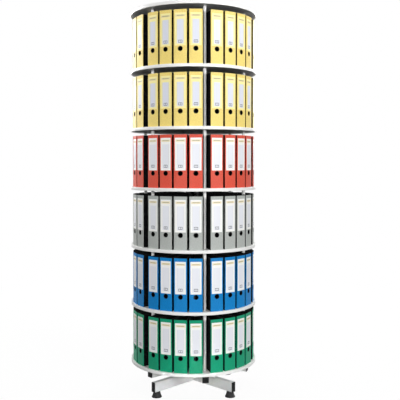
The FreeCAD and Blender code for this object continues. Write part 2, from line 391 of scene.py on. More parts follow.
def label_paper(name, paper, field_colour, bar_colour):
    """Printed label behind a clear pocket: smooth paper with a soft gloss.

    It has a pale writing field between two thin rules, a bar at its head and a year box at its foot.
    """
    sockets = {"Roughness": 0.5, "IOR": 1.49, "Specular IOR Level": 0.35}
    material, tree, shader, place = surface(name, sockets, "UV")
    across, up, _ = add_node(tree, "ShaderNodeSeparateXYZ", links={0: place}).outputs
    rule_grey, line_brown, year_grey = linear("#8F9096"), linear("#7A755F"), linear("#4C4D53")
    length = bpy.context.scene.filing_files.label_length
    field_up, field_length = length * FIELD_MIDDLE_SHARE, length * FIELD_LENGTH_SHARE
    head, year = (0.0, length - BAR_FROM_HEAD), (0.0, YEAR_FROM_FOOT)
    result = mottled(tree, shader, place, 30 * MM, shades(paper, 0.975, 1.0))
    for centre, size, colour, strength in (
            ((0.0, field_up), (FIELD_WIDTH, field_length), field_colour, 1.0),
            ((-FIELD_WIDTH / 2, field_up), (RULE_WIDTH, field_length), rule_grey, 0.5),
            ((FIELD_WIDTH / 2, field_up), (RULE_WIDTH, field_length), rule_grey, 0.5),
            (head, BAR, bar_colour, 1.0),
            (head, BAR_LINE, line_brown, 0.7),
            (year, YEAR_BOX, year_grey, 1.0),
            (year, YEAR_INSIDE, field_colour, 1.0),
            (year, YEAR_DIVIDE, year_grey, 1.0)):
        result = printed(tree, result, (across, up), centre, size, colour, strength)
    tree.links.new(result, shader.inputs["Base Color"])
    roughened(tree, shader, place, 20 * MM, 0.44, 0.56)
    grained(tree, shader, place, 18 * MM, 0.08 * MM)
    return material


def background_rays(tree):
    """1 for rays from the camera, and for those that metal and glass reflect or pass on."""
    path = add_node(tree, "ShaderNodeLightPath")
    either = add_node(tree, "ShaderNodeMath", {"operation": "MAXIMUM"},
                      {0: path.outputs["Is Camera Ray"], 1: path.outputs["Is Glossy Ray"]})
    return add_node(tree, "ShaderNodeMath", {"operation": "MAXIMUM"},
                    {0: either.outputs[0], 1: path.outputs["Is Transmission Ray"]}).outputs[0]


# each finish: what makes it, then its values, where a word is the name of a colour in the panel
FINISHES = {
    "melamine_white": (melamine, "shelf_white"),
    "abs_edge_white": (edge_plastic, "band_white"),
    "powder_coat_white": (powder_coat, "coat_white"),
    "powder_coat_light_grey": (powder_coat, "coat_grey"),
    "polyethylene_black": (moulded_black, "cap_black", 1.5 * MM),
    "lacquered_ring_black": (moulded_black, "cap_black", 1.5 * MM),
    "polyamide_black": (moulded_black, "foot_black", 2.0 * MM),
    "zinc_plated_steel": (plated_steel, "#B9BCBE", 0.34, 5 * MM),
    "nickel_plated_steel": (plated_steel, "#C8C6C0", 0.2, 8 * MM),
    "ground_bearing_steel": (plated_steel, "#AFB1B3", 0.18, 12 * MM),
    "grey_board_cut": (board_core,),
    "lining_paper_black": (lining_paper,),
    "cover_paper_marbled": (cover_paper,),
    "label_paper_white": (label_paper, "white_label", "white_field", "white_bar"),
    "label_paper_yellow": (label_paper, "yellow_label", "yellow_field", "yellow_bar"),
}
FINISHES.update({"spine_paper_" + colour: (spine_paper, colour) for colour in TIER_COLOURS})


def finish(name):
    """The material called name if it is there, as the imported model's own are, or else a new finish."""
    there = bpy.data.materials.get(name)
    if there:
        return there
    maker, *values = FINISHES[name]
    colours = bpy.context.scene.filing_finishes
    values = [getattr(colours, value, value) if isinstance(value, str) else value for value in values]
    return maker(name, *values)


# ---------------------------------------------------------------- mesh helpers

SMOOTH_BELOW = math.radians(35)     # edges between faces turned less than this are smooth

# straight steps round a part: few where it is small, or repeated for 144 files
TUBE_CORNER_STEPS, WIRE_STEPS, WELD_STEPS, BEND_STEPS, HOLE_STEPS, RIVET_STEPS = 4, 10, 10, 12, 18, 20
KNOB_STEPS, BORE_STEPS, STUD_STEPS, POST_STEPS, FOOT_STEPS, SHAFT_STEPS = 24, 24, 32, 48, 64, 64
RING_STEPS = 96


def moved(bm, verts, *matrices):
    """Applies transforms to some vertices, the first one given first."""
    for matrix in matrices:
        bmesh.ops.transform(bm, matrix=matrix, verts=verts)


def placed(bm, *matrices):
    """The whole of a bmesh, moved by transforms, the first one given first."""
    moved(bm, bm.verts[:], *matrices)
    return bm


def rounded(bm, geometry, radius, segments, affect="EDGES"):
    """Rounds edges, or corners, to a radius."""
    bmesh.ops.bevel(bm, geom=geometry, offset=radius, segments=segments, profile=0.5, affect=affect,
                    material=-1)


def box_part(size, *matrices):
    """A box of the given size, moved by transforms."""
    bm = bmesh.new()
    cube = bmesh.ops.create_cube(bm, size=1.0)["verts"]
    moved(bm, cube, Matrix.Diagonal((*size, 1.0)), *matrices)
    return bm


def of_type(geometry, kind):
    return [element for element in geometry if isinstance(element, kind)]


def extruded(bm, geometry, way):
    """Extrudes faces or edges and moves what is new; returns the new geometry."""
    if isinstance(geometry[0], bmesh.types.BMFace):
        new = bmesh.ops.extrude_face_region(bm, geom=geometry)["geom"]
    else:
        new = bmesh.ops.extrude_edge_only(bm, edges=geometry)["geom"]
    bmesh.ops.translate(bm, verts=of_type(new, bmesh.types.BMVert), vec=way)
    return new


def copies(part, placements):
    """A new bmesh with one copy of a part at each placement; the part is freed."""
    mesh = bpy.data.meshes.new("part")
    part.to_mesh(mesh)
    part.free()
    whole = bmesh.new()
    for placement in placements:
        before = len(whole.verts)
        whole.from_mesh(mesh)
        whole.verts.ensure_lookup_table()
        moved(whole, whole.verts[before:], placement)
    bpy.data.meshes.remove(mesh)
    return whole


def around(part, azimuths):
    """Copies of a part, each turned about the pivot to an azimuth; the part is freed."""
    return copies(part, [turn(azimuth) for azimuth in azimuths])


def join(parts):
    """One bmesh of several; the parts are freed."""
    whole = bmesh.new()
    for part in parts:
        mesh = bpy.data.meshes.new("part")
        part.to_mesh(mesh)
        part.free()
        whole.from_mesh(mesh)
        bpy.data.meshes.remove(mesh)
    return whole


def facing_out(bm):
    bmesh.ops.remove_doubles(bm, verts=bm.verts, dist=0.001 * MM)
    bmesh.ops.recalc_face_normals(bm, faces=bm.faces)
    return bm


def piece(name, bm, finishes, body, stands_for=()):
    """Makes the finished object: smooth where it is rounded, riding on its body."""
    mesh = bpy.data.meshes.new(name)
    bm.to_mesh(mesh)
    bm.free()
    for kind in finishes:
        mesh.materials.append(finish(kind))
    mesh.shade_smooth()
    mesh.set_sharp_from_angle(angle=SMOOTH_BELOW)
    thing = bpy.data.objects.new(name, mesh)
    bpy.context.scene.collection.objects.link(thing)
    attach(thing, body)
    if stands_for:
        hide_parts(*stands_for)
    return thing


def rounded_tube(width, height, wall, radius, start, end, low):
    """Rectangular tube with round corners, open at both ends, reaching out along -Y."""
    bm = box_part((width, end - start, height), shift(0, -(start + end) / 2, low + height / 2))
    rounded(bm, [edge for edge in bm.edges if abs(edge.verts[0].co.y - edge.verts[1].co.y) > wall], radius,
            TUBE_CORNER_STEPS)
    ends = [face for face in bm.faces if abs(face.normal.y) > 0.5]
    bmesh.ops.delete(bm, geom=ends, context="FACES_ONLY")
    bmesh.ops.recalc_face_normals(bm, faces=bm.faces)
    middle = Vector((0, 0, low + height / 2))
    if sum(face.normal.dot(face.calc_center_median() - middle) for face in bm.faces) < 0:
        bmesh.ops.reverse_faces(bm, faces=bm.faces)
    bmesh.ops.solidify(bm, geom=bm.faces, thickness=wall)
    return bm


def turned_profile(points, steps_round, bevels=(), bevel_segments=3):
    """Closed solid of revolution about Z from (radius, height) points.

    bevels gives a rounding for some of the points, as (index, radius).
    """
    bm = bmesh.new()
    verts = [bm.verts.new((radius, 0, height)) for radius, height in points]
    for first, second in zip(verts, verts[1:] + verts[:1]):
        bm.edges.new((first, second))
    for index, radius in bevels:
        rounded(bm, [verts[index]], radius, bevel_segments, "VERTICES")
    bmesh.ops.spin(bm, geom=bm.edges[:] + bm.verts[:], cent=(0, 0, 0), axis=(0, 0, 1), angle=FULL_TURN,
                   steps=steps_round, use_merge=True)
    return facing_out(bm)


def ring_part(inner, outer, low, high, steps_round, rounding=0.0, rounded_edges=()):
    """Ring of rectangular section, or a disc; 1 is its lower outer edge and 2 its upper one."""
    return turned_profile([(inner, low), (outer, low), (outer, high), (inner, high)], steps_round,
                          [(edge, rounding) for edge in rounded_edges])


# ---------------------------------------------------------------- parts of the foot and the frame

CAP_PLAY = 0.2 * MM                 # between a cap's plug and its tube
CAP_CROWN, CAP_PLUG = 0.4, 4        # rounding of a cap's flange and length of its plug, in flanges
FOOT_RIBS = 12
THREAD_DEPTH = 0.54                 # of a metric thread's pitch
WELD_RIPPLE, WELD_DIP = 1.2, 0.82   # from one ripple to the next, and radius between two, in radii
CROSS_WELD, STAR_WELD = 1.6 * MM, 1.8 * MM
STAR_OVERLAP, STAR_WELD_OUT = 1 * MM, 1.4 * MM  # a tube's end inside the hub, its bead outside that end
BALLS = 20
CAGE_RIM, CAGE_INSET = 1 * MM, 1.3 * MM         # cage past the balls' track, and below their tops


def end_cap_part(width, height, wall, reach, low, sizes):
    """Moulded cap: a crowned flange over the tube's end, and a plug inside it."""
    flange = sizes.cap_flange
    bm = box_part((width, flange, height), shift(0, -reach - flange / 2, low + height / 2))
    rounded(bm, [edge for edge in bm.edges if abs(edge.verts[0].co.y - edge.verts[1].co.y) > flange / 2],
            sizes.tube_round, TUBE_CORNER_STEPS)
    front = [face for face in bm.faces if face.normal.y < -0.9]
    rounded(bm, list({edge for face in front for edge in face.edges}), CAP_CROWN * flange, 3)
    back = [face for face in bm.faces if face.normal.y > 0.9]
    bmesh.ops.inset_region(bm, faces=back, thickness=wall + CAP_PLAY, use_even_offset=True)
    extruded(bm, back, (0, CAP_PLUG * flange, 0))
    bmesh.ops.delete(bm, geom=back, context="FACES")
    return bm


def levelling_foot_part(sizes):
    """Moulded foot: a lipped base hollowed under its middle, a waisted cone, and upright grip ribs."""
    base, top, stud = sizes.foot_base / 2, sizes.foot_top / 2, sizes.stud_diameter / 2
    edge, height, middle = sizes.foot_edge, CROSS_LOW, (base + top) / 2
    hollow, lip, collar = 1.2 * MM, 4 * MM, 4 * MM
    body = turned_profile([
        (0, hollow), (base * 0.8, hollow), (base * 0.84, 0), (base, 0), (base, edge),
        (base - lip, edge + 3 * MM), (middle - 2.2 * MM, height * 0.52), (top, height - collar),
        (top, height), (stud, height), (0, height)],
        FOOT_STEPS, bevels=[(4, 1.6 * MM), (3, 1.0 * MM), (8, 1.4 * MM), (6, 6 * MM)])
    rib_size = (2.2 * MM, 3.0 * MM, height * 0.62)
    lean = Matrix.Rotation(-math.atan2(base - top, height), 4, "X")
    outwards = shift(0, -middle + 2.4 * MM, height * 0.5)
    ribs = []
    for index in range(FOOT_RIBS):
        rib = box_part(rib_size, lean, outwards, turn(index * FULL_TURN / FOOT_RIBS))
        rounded(rib, rib.edges[:], 0.7 * MM, 2)
        ribs.append(rib)
    return join([body] + ribs)


def stud_part(sizes, low, high):
    """Threaded stud, its thread drawn as rings of the same pitch."""
    radius, pitch = sizes.stud_diameter / 2, sizes.stud_pitch
    root = radius - THREAD_DEPTH * pitch
    count = int((high - low) / pitch)
    points = [(0, low)]
    for index in range(count):
        height = low + index * pitch
        points += [(root, height + 0.05 * pitch), (radius, height + 0.5 * pitch)]
    points += [(root, low + count * pitch), (root, high), (0, high)]
    return turned_profile(points, STUD_STEPS)


def weld_bead(length, radius):
    """Upright fillet weld: a bead with the ripples of its passes."""
    count = max(3, int(length / (WELD_RIPPLE * radius)))
    points = [(0, -length / 2)]
    for index in range(count + 1):
        height = -length / 2 + length * index / count
        points.append((radius * (1.0 if index % 2 else WELD_DIP), height))
    points.append((0, length / 2))
    return turned_profile(points, WELD_STEPS)


# ---------------------------------------------------------------- parts of a file

def unrolled(place, sizes):
    """Where a point of the cover lies on the flat sheet: across from the spine's middle, and up."""
    depth = place.y + SPINE_RADIUS
    if depth < sizes.board * 1.2:
        return place.x, place.z
    return math.copysign(HALF_SPINE + depth / math.cos(COVER_TAPER), place.x), place.z


def upright(bm, verts, low):
    """Stands a flat shape up in the plane of the spine, its middle at the height given."""
    moved(bm, verts, Matrix.Rotation(math.pi / 2, 4, "X"), shift(0, -SPINE_RADIUS, low))


def cover_part(sizes):
    """One folded board: a spine with its finger hole, and two sides that close towards the fore-edge."""
    bm = bmesh.new()
    grid = bmesh.ops.create_grid(bm, x_segments=1, y_segments=1, size=0.5)["verts"]
    moved(bm, grid, Matrix.Diagonal((2 * HALF_SPINE, FILE_HEIGHT, 1.0, 1.0)))
    upright(bm, grid, FILE_HEIGHT / 2)
    bmesh.ops.delete(bm, geom=bm.faces[:], context="FACES_ONLY")
    hole = bmesh.ops.create_circle(bm, segments=HOLE_STEPS, radius=sizes.hole_diameter / 2)["verts"]
    upright(bm, hole, sizes.hole_height)
    folds = [edge for edge in bm.edges if edge.calc_length() > FILE_HEIGHT / 2
             and abs(edge.verts[0].co.x - edge.verts[1].co.x) < MM]
    bmesh.ops.triangle_fill(bm, edges=bm.edges[:], use_beauty=True)
    for fold in folds:
        inwards = -math.copysign(HALF_SPINE - HALF_FORE_EDGE, fold.verts[0].co.x) / COVER_DEPTH
        edge = fold
        # the spine's paper ends a little way round each side, where the cover's paper starts
        for depth in (sizes.wrap, COVER_DEPTH - sizes.wrap):
            side = extruded(bm, [edge], (inwards * depth, depth, 0))
            edge = of_type(side, bmesh.types.BMEdge)[0]
    bmesh.ops.recalc_face_normals(bm, faces=bm.faces)
    spine = [face for face in bm.faces if abs(face.normal.y) > 0.9]
    if spine[0].normal.y > 0:
        bmesh.ops.reverse_faces(bm, faces=bm.faces)
    rounded(bm, folds, sizes.hinge_round, 2)
    bmesh.ops.solidify(bm, geom=bm.faces, thickness=sizes.board)
    return bm


SPINE_PAPER, COVER_PAPER, LINING, CUT_EDGE = range(4)


def paper_cover(bm, sizes):
    """Gives each face of a cover its paper and unrolls it onto the sheet."""
    sheet = bm.loops.layers.uv.new("sheet")
    for face in bm.faces:
        centre = face.calc_center_median()
        side = math.copysign(1.0, centre.x)
        outwards = Vector((side * math.cos(COVER_TAPER), 0, 0))
        if centre.y + SPINE_RADIUS < sizes.board * 1.2 and abs(centre.x) < HALF_SPINE - sizes.board:
            outwards = Vector((0, -1, 0))
        elif centre.y + SPINE_RADIUS < sizes.board * 1.2:
            outwards = Vector((side * 0.7, -0.7, 0))
        facing = face.normal.dot(outwards)
        outside = SPINE_PAPER if centre.y + SPINE_RADIUS < sizes.wrap else COVER_PAPER
        face.material_index = outside if facing > 0.6 else LINING if facing < -0.6 else CUT_EDGE
        for loop in face.loops:
            loop[sheet].uv = unrolled(loop.vert.co, sizes)
    return bm


def label_part(sizes):
    """Label in its pocket, a thin plate with rounded corners."""
    bm = bmesh.new()
    plate = bmesh.ops.create_grid(bm, x_segments=1, y_segments=1, size=0.5)["verts"]
    moved(bm, plate, Matrix.Diagonal((sizes.label_width, sizes.label_length, 1.0, 1.0)))
    rounded(bm, plate, 2.5 * MM, 3, "VERTICES")
    upright(bm, bm.verts[:], sizes.label_foot + sizes.label_length / 2)
    extruded(bm, bm.faces[:], (0, -sizes.label_rise, 0))
    bmesh.ops.recalc_face_normals(bm, faces=bm.faces)
    sheet = bm.loops.layers.uv.new("sheet")
    for face in bm.faces:
        for loop in face.loops:
            loop[sheet].uv = loop.vert.co.x, loop.vert.co.z - sizes.label_foot
    return bm


def finger_ring_part(sizes):
    """Lacquered ring pressed round the finger hole."""
    inner = sizes.hole_diameter / 2 - 0.3 * MM
    outer = inner + sizes.ring_width
    rise = sizes.ring_rise
    bm = turned_profile([(inner, -sizes.board), (inner, rise * 0.6), (inner + 0.8 * MM, rise),
                         (outer, 0.05 * MM)], HOLE_STEPS)
    upright(bm, bm.verts[:], sizes.hole_height)
    return bm


def arch_part(sizes):
    """Wire bent into an arch whose two ends stand on the base plate."""
    bm = bmesh.new()
    radius = (sizes.arch_span - sizes.arch_wire) / 2
    leg = sizes.arch_reach - sizes.arch_span / 2
    ring = bmesh.ops.create_circle(bm, segments=WIRE_STEPS, radius=sizes.arch_wire / 2)["verts"]
    moved(bm, ring, Matrix.Rotation(math.pi / 2, 4, "Y"), shift(0, -radius, 0))
    straight = extruded(bm, bm.edges[:], (leg, 0, 0))
    bend = bmesh.ops.spin(bm, geom=of_type(straight, bmesh.types.BMEdge), cent=(leg, 0, 0),
                          axis=(0, 0, -1), angle=math.pi, steps=BEND_STEPS)["geom_last"]
    extruded(bm, of_type(bend, bmesh.types.BMEdge), (-leg, 0, 0))
    return facing_out(bm)


def block(size, centre, rounding):
    """Small bar with rounded edges."""
    bm = box_part(size, Matrix.Translation(centre))
    rounded(bm, bm.edges[:], rounding, 2)
    return bm


def mechanism_parts(sizes):
    """Lever-arch mechanism: stamped base plate, rivets, two arches and the lever, then its knob."""
    middle = sizes.plate_depth / 2
    sheet = 1.4 * MM
    lip_height, lip_depth = 2.6 * MM, 1.6 * MM
    rivet_across, rivet_inset = 13 * MM, 9 * MM
    lever_width, lever_sheet = 8 * MM, 1.8 * MM
    knob_end, knob_middle, knob_half = 3.4 * MM, 4.4 * MM, 4.5 * MM
    parts = [block((sheet, sizes.plate_depth, sizes.plate_height), (sheet / 2, middle, 0), 0.4 * MM)]
    for side in (-1, 1):
        # rolled lips stiffen the plate's long edges
        parts.append(block((lip_height, lip_depth, sizes.plate_height - 8 * MM),
                           (lip_height / 2, middle + side * (middle - 0.9 * MM), 0), 0.6 * MM))
        parts.append(placed(arch_part(sizes), shift(sheet, middle, side * sizes.ring_spacing / 2)))
        for across in (-1, 1):
            rivet = turned_profile([(0, 0), (3.2 * MM, 0), (2.4 * MM, 1.1 * MM), (0, 1.5 * MM)], RIVET_STEPS)
            place = shift(sheet - 0.1 * MM, middle + across * rivet_across,
                          side * (sizes.plate_height / 2 - rivet_inset))
            parts.append(placed(rivet, Matrix.Rotation(math.pi / 2, 4, "Y"), place))
    lever_reach = sizes.lever_length - 6 * MM
    lever_depth = (sizes.plate_depth - sizes.arch_span) / 2 + 4.5 * MM
    lever_height = sizes.ring_spacing / 2 + 3 * MM
    parts.append(block((lever_reach, lever_width, lever_sheet),
                       (lever_reach / 2 + 1 * MM, lever_depth, lever_height), 0.5 * MM))
    knob = turned_profile([(0, -knob_half), (knob_end, -knob_half), (knob_middle, 0), (knob_end, knob_half),
                           (0, knob_half)], KNOB_STEPS)
    placed(knob, Matrix.Rotation(math.pi / 2, 4, "X"),
           shift(sizes.lever_length - 4.6 * MM, lever_depth, lever_height))
    return join(parts), knob


def mechanism_place(sizes, foot):
    """From the mechanism's own axes to the left cover of the file at the front."""
    wall = -HALF_SPINE + sizes.board + sizes.setback * math.sin(COVER_TAPER)
    depth = sizes.setback * math.cos(COVER_TAPER)
    return shift(wall, depth - SPINE_RADIUS, foot + FILE_HEIGHT / 2) @ turn(-COVER_TAPER)


# ---------------------------------------------------------------- operators

class PieceOperator:
    """What all the operators share: where they find their sizes."""
    bl_options = {"REGISTER", "UNDO"}

    @property
    def frame_sizes(self):
        return bpy.context.scene.filing_frame

    @property
    def file_sizes(self):
        return bpy.context.scene.filing_files


class FILING_OT_cross_foot(PieceOperator, bpy.types.Operator):
    """Cross foot of two crossing tubes, with the weld beads where they meet"""
    bl_idname = "filing.cross_foot"
    bl_label = "Cross foot"

    def execute(self, context):
        sizes = self.frame_sizes
        height = CROSS_HIGH - CROSS_LOW
        size = (sizes.cross_width, height, sizes.cross_wall, sizes.tube_round)
        through = placed(rounded_tube(*size, -CROSS_REACH, CROSS_REACH, CROSS_LOW), turn(FOOT_AZIMUTHS[0]))
        corner = sizes.cross_width / 2
        halves = around(rounded_tube(*size, corner, CROSS_REACH, CROSS_LOW), FOOT_AZIMUTHS[1::2])
        bead = weld_bead(height - 2 * sizes.tube_round, CROSS_WELD)
        beads = around(placed(bead, shift(corner, -corner, CROSS_LOW + height / 2)),
                       FOOT_AZIMUTHS)
        piece("cross_foot_tubes", join([through, halves, beads]), ["powder_coat_light_grey"], "foot",
              ["foot_cross"])
        return {"FINISHED"}


class FILING_OT_end_caps(PieceOperator, bpy.types.Operator):
    """Black end caps of the cross foot and of the star frame"""
    bl_idname = "filing.end_caps"
    bl_label = "End caps"

    def execute(self, context):
        sizes = self.frame_sizes
        foot = end_cap_part(sizes.cross_width, CROSS_HIGH - CROSS_LOW, sizes.cross_wall, CROSS_REACH,
                            CROSS_LOW, sizes)
        piece("cross_foot_caps", around(foot, FOOT_AZIMUTHS), ["polyethylene_black"], "foot",
              ["foot_end_caps"])
        star = end_cap_part(sizes.star_width, STAR_HIGH - STAR_LOW, sizes.star_wall, STAR_REACH,
                            STAR_LOW, sizes)
        piece("star_caps", around(star, POST_AZIMUTHS), ["polyethylene_black"], "carousel",
              ["star_end_caps"])
        return {"FINISHED"}


class FILING_OT_levelling_feet(PieceOperator, bpy.types.Operator):
    """Four moulded levelling feet with their threaded studs"""
    bl_idname = "filing.levelling_feet"
    bl_label = "Levelling feet"

    def execute(self, context):
        sizes = self.frame_sizes
        stud_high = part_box(FEET[0])[1].z
        for node, azimuth in zip(FEET, FOOT_AZIMUTHS):
            place = turn(azimuth) @ shift(0, FOOT_PLACE.y, 0)
            piece(node + "_moulding", placed(levelling_foot_part(sizes), place), ["polyamide_black"], node,
                  [node])
            piece(node + "_stud", placed(stud_part(sizes, CROSS_LOW - 1 * MM, stud_high), place),
                  ["zinc_plated_steel"], node)
        return {"FINISHED"}


class FILING_OT_pivot(PieceOperator, bpy.types.Operator):
    """Spindle on its flange, with the thrust bearing between foot and hub"""
    bl_idname = "filing.pivot"
    bl_label = "Pivot and bearing"

    def execute(self, context):
        sizes = self.frame_sizes
        low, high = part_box("pivot_spindle")
        race_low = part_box("bearing_lower_race")[0].z
        half = (high.x - low.x) / 2 / math.sqrt(2)
        flange = block((2 * half, 2 * half, race_low - low.z), (0, 0, (race_low + low.z) / 2), 1.2 * MM)
        placed(flange, turn(FOOT_AZIMUTHS[0]))
        radius = sizes.spindle_diameter / 2
        shaft_low = low.z + 1 * MM
        shaft = turned_profile([(0, shaft_low), (radius, shaft_low), (radius, high.z), (0, high.z)],
                               SHAFT_STEPS, bevels=[(2, 1.5 * MM)], bevel_segments=1)
        # the spindle and the balls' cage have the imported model's own turned steel
        piece("pivot_spindle_turned", join([flange, shaft]), ["turned_steel"], "foot",
              ["pivot_spindle"])
        self.bearing(radius + 0.5 * MM)
        return {"FINISHED"}

    def bearing(self, bore):
        """Two races with rounded rims, and a caged ring of balls between them."""
        races = ["ground_bearing_steel"]
        cage_low, cage_high = [corner.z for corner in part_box("bearing_ball_cage")]
        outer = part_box("bearing_ball_cage")[1].x
        ball = (cage_high - cage_low) / 2
        track = outer - ball * 1.05
        for node, body in (("bearing_lower_race", "foot"), ("bearing_upper_race", "carousel")):
            low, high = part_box(node)
            ring = ring_part(bore, high.x, low.z, high.z, RING_STEPS, 0.5 * MM, (1, 2))
            piece(node + "_ring", ring, races, body, [node])
        sphere = bmesh.new()
        bmesh.ops.create_icosphere(sphere, subdivisions=2, radius=ball)
        placed(sphere, shift(0, -track, (cage_low + cage_high) / 2))
        balls = around(sphere, [index * FULL_TURN / BALLS for index in range(BALLS)])
        cage = ring_part(bore, track + CAGE_RIM, cage_low + CAGE_INSET, cage_high - CAGE_INSET, RING_STEPS)
        piece("bearing_balls", balls, races, "foot", ["bearing_ball_cage"])
        piece("bearing_cage_ring", cage, ["turned_steel"], "foot")


class FILING_OT_star_frame(PieceOperator, bpy.types.Operator):
    """Star frame: six tubes welded round a turned hub"""
    bl_idname = "filing.star_frame"
    bl_label = "Star frame"

    def execute(self, context):
        sizes = self.frame_sizes
        hub = sizes.hub_diameter / 2
        bore = sizes.spindle_diameter / 2 + sizes.spindle_play
        height = STAR_HIGH - STAR_LOW
        start = math.sqrt(hub ** 2 - (sizes.star_width / 2) ** 2) - STAR_OVERLAP
        arm = rounded_tube(sizes.star_width, height, sizes.star_wall, sizes.tube_round, start,
                           STAR_REACH, STAR_LOW)
        middle = ring_part(bore, hub, HUB_LOW, STAR_HIGH, RING_STEPS, 1.5 * MM, (1,))
        parts = [around(arm, POST_AZIMUTHS), middle]
        for side in (1, -1):
            place = shift(side * sizes.star_width / 2, -start - STAR_WELD_OUT, STAR_LOW + height / 2)
            bead = placed(weld_bead(height - 2 * sizes.tube_round, STAR_WELD), place)
            parts.append(around(bead, POST_AZIMUTHS))
        piece("star_frame_tubes", join(parts), ["powder_coat_white"], "carousel",
              ["star_frame"])
        return {"FINISHED"}


class FILING_OT_shelves(PieceOperator, bpy.types.Operator):
    """Round shelves of faced board, each with its edge band"""
    bl_idname = "filing.shelves"
    bl_label = "Shelves"

    def execute(self, context):
        for node in SHELVES:
            low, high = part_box(node)
            piece(node + "_board", self.board(low, high), ["melamine_white"], "carousel",
                  [node])
            piece(node + "_edge_band", self.band(low, high), ["abs_edge_white"], "carousel")
        return {"FINISHED"}

    def board(self, low, high):
        sizes = self.frame_sizes
        bm = bmesh.new()
        bmesh.ops.create_circle(bm, segments=sizes.round_steps, radius=high.y - sizes.board_band)
        for azimuth in POST_AZIMUTHS:
            place = turn(azimuth) @ Vector((0, POST_PLACE.y, 0))
            bmesh.ops.create_circle(bm, segments=BORE_STEPS, radius=POST_RADIUS + 0.3 * MM,
                                    matrix=Matrix.Translation(place))
        bmesh.ops.translate(bm, verts=bm.verts, vec=(0, 0, low.z))
        bmesh.ops.triangle_fill(bm, edges=bm.edges[:], use_beauty=True)
        extruded(bm, bm.faces[:], (0, 0, high.z - low.z))
        bmesh.ops.recalc_face_normals(bm, faces=bm.faces)
        return bm

    def band(self, low, high):
        sizes = self.frame_sizes
        return ring_part(high.y - sizes.board_band, high.y, low.z, high.z, sizes.round_steps,
                         sizes.band_round, (1, 2))


class FILING_OT_posts(PieceOperator, bpy.types.Operator):
    """Six post tubes, each closed by a plug at its head"""
    bl_idname = "filing.posts"
    bl_label = "Posts"

    def execute(self, context):
        inner = POST_RADIUS - self.frame_sizes.post_wall
        for node, azimuth in zip(POSTS, POST_AZIMUTHS):
            low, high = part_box(node)
            place = turn(azimuth) @ shift(0, POST_PLACE.y, 0)
            tube = ring_part(inner, POST_RADIUS, low.z, high.z, POST_STEPS, 0.5 * MM, (2,))
            piece(node + "_tube", placed(tube, place), ["powder_coat_white"], "carousel",
                  [node])
            plug = turned_profile([(0, high.z - 8 * MM), (inner, high.z - 8 * MM),
                                   (inner, high.z - 0.8 * MM), (0, high.z - 0.3 * MM)], POST_STEPS)
            piece(node + "_plug", placed(plug, place), ["abs_edge_white"], "carousel")
        return {"FINISHED"}


class FILING_OT_files(PieceOperator, bpy.types.Operator):
    """Lever-arch files of every tier, with their labels and finger rings"""
    bl_idname = "filing.files"
    bl_label = "Files"

    def execute(self, context):
        sizes = self.file_sizes
        for number, (tier, colour) in enumerate(zip(TIERS, TIER_COLOURS), 1):
            # in the order of SPINE_PAPER, COVER_PAPER, LINING and CUT_EDGE
            papers = ["spine_paper_" + colour, "cover_paper_marbled", "lining_paper_black", "grey_board_cut"]
            label = "label_paper_yellow" if colour == "yellow" else "label_paper_white"
            sliding = "sliding_file_%d" % number
            for name, body, node, azimuths in ((tier, "carousel", tier, FILE_AZIMUTHS[1:]),
                                               (sliding, sliding, sliding + "_cover", FILE_AZIMUTHS[:1])):
                foot = shift(0, 0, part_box(node)[0].z)
                places = [turn(azimuth) @ foot for azimuth in azimuths]
                piece(name + "_covers", copies(paper_cover(cover_part(sizes), sizes), places), papers, body,
                      [node])
                piece(name + "_labels", copies(label_part(sizes), places), [label], body)
                piece(name + "_finger_rings", copies(finger_ring_part(sizes), places),
                      ["lacquered_ring_black"], body)
        return {"FINISHED"}


class FILING_OT_mechanisms(PieceOperator, bpy.types.Operator):
    """Lever-arch mechanism of each file that slides out"""
    bl_idname = "filing.mechanisms"
    bl_label = "Mechanisms"

    def execute(self, context):
        sizes = self.file_sizes
        for number in range(1, len(TIERS) + 1):
            body = "sliding_file_%d" % number
            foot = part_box(body + "_cover")[0].z
            place = turn(SLIDE_AZIMUTH) @ mechanism_place(sizes, foot)
            metal, knob = mechanism_parts(sizes)
            piece(body + "_mechanism", placed(metal, place), ["nickel_plated_steel"], body,
                  [body + "_lever_arch"])
            piece(body + "_lever_knob", placed(knob, place), ["polyethylene_black"], body)
        return {"FINISHED"}


# name, place, point aimed at, side of the square lamp, watts, degrees it spreads over
LAMPS = (
    ("key_right", (4.22, -5.4, 2.5), (0, 0, 0.9), 1.9, 288.0, 180),
    ("key_left", (-1.77, -6.62, 2.42), (0, 0, 0.9), 1.9, 216.0, 180),
    ("left_fill", (-4.55, 1.85, 3.2), (0, 0, 2.5), 2.2, 19.0, 45),
    ("right_fill", (4.7, -1.71, 3.4), (0, 0, 2.7), 1.4, 3.0, 24),
    ("back_right", (2.75, 4.76, 3.0), (0, 0, 1.2), 2.2, 160.0, 180),
    ("back_left", (-2.9, 4.65, 3.0), (0, 0, 1.2), 2.2, 160.0, 180),
    ("top", (0.0, 0.3, 5.4), (0, 0, 2.4), 2.4, 24.0, 120),
    ("foot", (0.35, -3.2, 0.1), (0, 0, 0.06), 0.2, 0.24, 12),
)
FLOOR_RADIUS, FLOOR_STEPS, FLOOR_DROP = 30.0, 96, 0.2 * MM
CAMERA_PLACE = (0.0, -4.36, 1.443)
CAMERA_DOWN, CAMERA_RIGHT = math.radians(1.44), math.radians(0.56)


